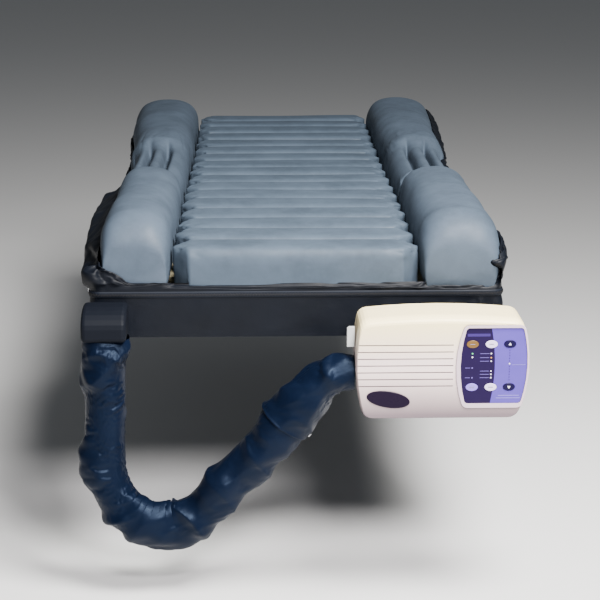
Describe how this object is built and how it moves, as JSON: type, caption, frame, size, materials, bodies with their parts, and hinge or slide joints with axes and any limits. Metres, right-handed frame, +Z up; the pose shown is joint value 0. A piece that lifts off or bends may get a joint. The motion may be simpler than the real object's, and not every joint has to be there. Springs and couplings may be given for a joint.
{
  "type": "pressure relief mattress",
  "caption": "Alternating-pressure ward mattress: transverse air cells between raised side bolsters with low egress lengths, on a foam base in a fabric tub, with its air pump and sleeved hose.",
  "frame": {"origin": "centre of the mattress's underside, where it lies on the bed deck", "axes": "+X towards the right as seen from the foot end, +Y towards the head end, +Z up"},
  "size_m": [0.9623, 2.2196, 0.7184],
  "materials": {
    "cell_fabric": "coated nylon, satin",
    "bolster_fabric": "coated nylon, satin",
    "tub_fabric": "coated nylon, semi-gloss",
    "foam": "open-cell foam",
    "tubing": "clear grey vinyl",
    "dark_plastic": "moulded, fine grain",
    "red_plastic": "moulded",
    "zip_metal": "satin",
    "sleeve_fabric": "coated nylon, crumpled",
    "grey_plastic": "moulded",
    "casing": "warm white moulded ABS, fine grain",
    "bezel": "moulded",
    "panel": "printed film, indigo and lavender",
    "badge": "blank domed label",
    "orange_key": "membrane key",
    "white_key": "membrane key",
    "lavender_key": "membrane key",
    "dark_blue_key": "membrane key",
    "motor_metal": "cast",
    "valve_plastic": "moulded",
    "board": "circuit board",
    "black_plastic": "moulded",
    "hook_metal": "zinc plated",
    "rubber": "moulded"
  },
  "bodies": {
    "mattress": {"air_cell_08": "cell_fabric", "air_cell_09": "cell_fabric", "air_cell_10": "cell_fabric", "air_cell_11": "cell_fabric", "air_cell_12": "cell_fabric", "air_cell_13": "cell_fabric", "air_cell_14": "cell_fabric", "air_cell_15": "cell_fabric", "air_cell_16": "cell_fabric", "air_cell_17": "cell_fabric", "bolster_foot_left": "bolster_fabric", "bolster_foot_right": "bolster_fabric", "egress_left": "bolster_fabric", "egress_right": "bolster_fabric", "foam_seat": "foam", "tub_seat": "tub_fabric", "zip_tape_seat": "tub_fabric", "air_line_seat": "tubing", "air_line_bridge": "tubing", "air_manifold": "dark_plastic", "hose_elbow": "dark_plastic", "hose_sleeve": "sleeve_fabric", "hose_connector": "grey_plastic", "front_housing": "casing", "rear_housing": "casing", "panel_bezel": "bezel", "control_panel": "panel", "badge_plate": "badge", "compressor": "motor_metal", "rotary_valve": "valve_plastic", "circuit_board": "board", "power_inlet": "black_plastic", "hook_bracket": "hook_metal", "rear_bumper": "rubber"},
    "back_section": {"air_cell_01": "cell_fabric", "air_cell_02": "cell_fabric", "air_cell_03": "cell_fabric", "air_cell_04": "cell_fabric", "air_cell_05": "cell_fabric", "air_cell_06": "cell_fabric", "air_cell_07": "cell_fabric", "bolster_head_left": "bolster_fabric", "bolster_head_right": "bolster_fabric", "foam_back": "foam", "tub_back": "tub_fabric", "zip_tape_back": "tub_fabric", "air_line_back": "tubing", "cpr_flange": "dark_plastic"},
    "zip_slider": {"zip_slider": "zip_metal"},
    "cpr_knob": {"cpr_knob": "red_plastic"},
    "release_lever": {"hose_release_lever": "grey_plastic"},
    "hook_left": {"hook_left": "hook_metal"},
    "hook_right": {"hook_right": "hook_metal"},
    "power_switch": {"power_switch": "black_plastic"},
    "button_power": {"button_power": "orange_key"},
    "button_mode": {"button_mode": "white_key"},
    "button_up": {"button_up": "dark_blue_key"},
    "button_lock": {"button_lock": "lavender_key"},
    "button_silence": {"button_silence": "white_key"},
    "button_down": {"button_down": "dark_blue_key"}
  },
  "joints": [
    {"name": "back_fold", "type": "hinge", "parent": "mattress", "child": "back_section", "pos_m": [0, 0.05941, 0], "axis": [1, 0, 0], "range_deg": [0, 60], "deforming": ["air_cell_08", "air_cell_09", "egress_left", "egress_right", "air_line_bridge"]},
    {"name": "zip_slide", "type": "slide", "parent": "mattress", "child": "zip_slider", "axis": [0, 1, 0], "range_m": [0, 0.78]},
    {"name": "cpr_turn", "type": "hinge", "parent": "back_section", "child": "cpr_knob", "pos_m": [-0.4573, 0.8, 0.045], "axis": [-1, 0, 0], "range_deg": [0, 90]},
    {"name": "release_lever_turn", "type": "hinge", "parent": "mattress", "child": "release_lever", "pos_m": [0.1185, -1.15, 0.037], "axis": [0, 0, 1], "range_deg": [0, 18], "stiffness_Nm_per_rad": 0.05},
    {"name": "hook_left_fold", "type": "hinge", "parent": "mattress", "child": "hook_left", "pos_m": [0.207, -1.0645, 0.035], "axis": [0, 0, 1], "range_deg": [0, 90]},
    {"name": "hook_right_fold", "type": "hinge", "parent": "mattress", "child": "hook_right", "pos_m": [0.407, -1.0645, 0.035], "axis": [0, 0, -1], "range_deg": [0, 90]},
    {"name": "power_switch_rock", "type": "hinge", "parent": "mattress", "child": "power_switch", "pos_m": [0.38, -1.0765, -0.09], "axis": [1, 0, 0], "range_deg": [0, 8]},
    {"name": "power_press", "type": "slide", "parent": "mattress", "child": "button_power", "axis": [0, 1, 0], "range_m": [0, 0.0008], "stiffness_N_per_m": 400},
    {"name": "mode_press", "type": "slide", "parent": "mattress", "child": "button_mode", "axis": [0, 1, 0], "range_m": [0, 0.0008], "stiffness_N_per_m": 400},
    {"name": "up_press", "type": "slide", "parent": "mattress", "child": "button_up", "axis": [0, 1, 0], "range_m": [0, 0.0008], "stiffness_N_per_m": 400},
    {"name": "lock_press", "type": "slide", "parent": "mattress", "child": "button_lock", "axis": [0, 1, 0], "range_m": [0, 0.0008], "stiffness_N_per_m": 400},
    {"name": "silence_press", "type": "slide", "parent": "mattress", "child": "button_silence", "axis": [0, 1, 0], "range_m": [0, 0.0008], "stiffness_N_per_m": 400},
    {"name": "down_press", "type": "slide", "parent": "mattress", "child": "button_down", "axis": [0, 1, 0], "range_m": [0, 0.0008], "stiffness_N_per_m": 400}
  ]
}
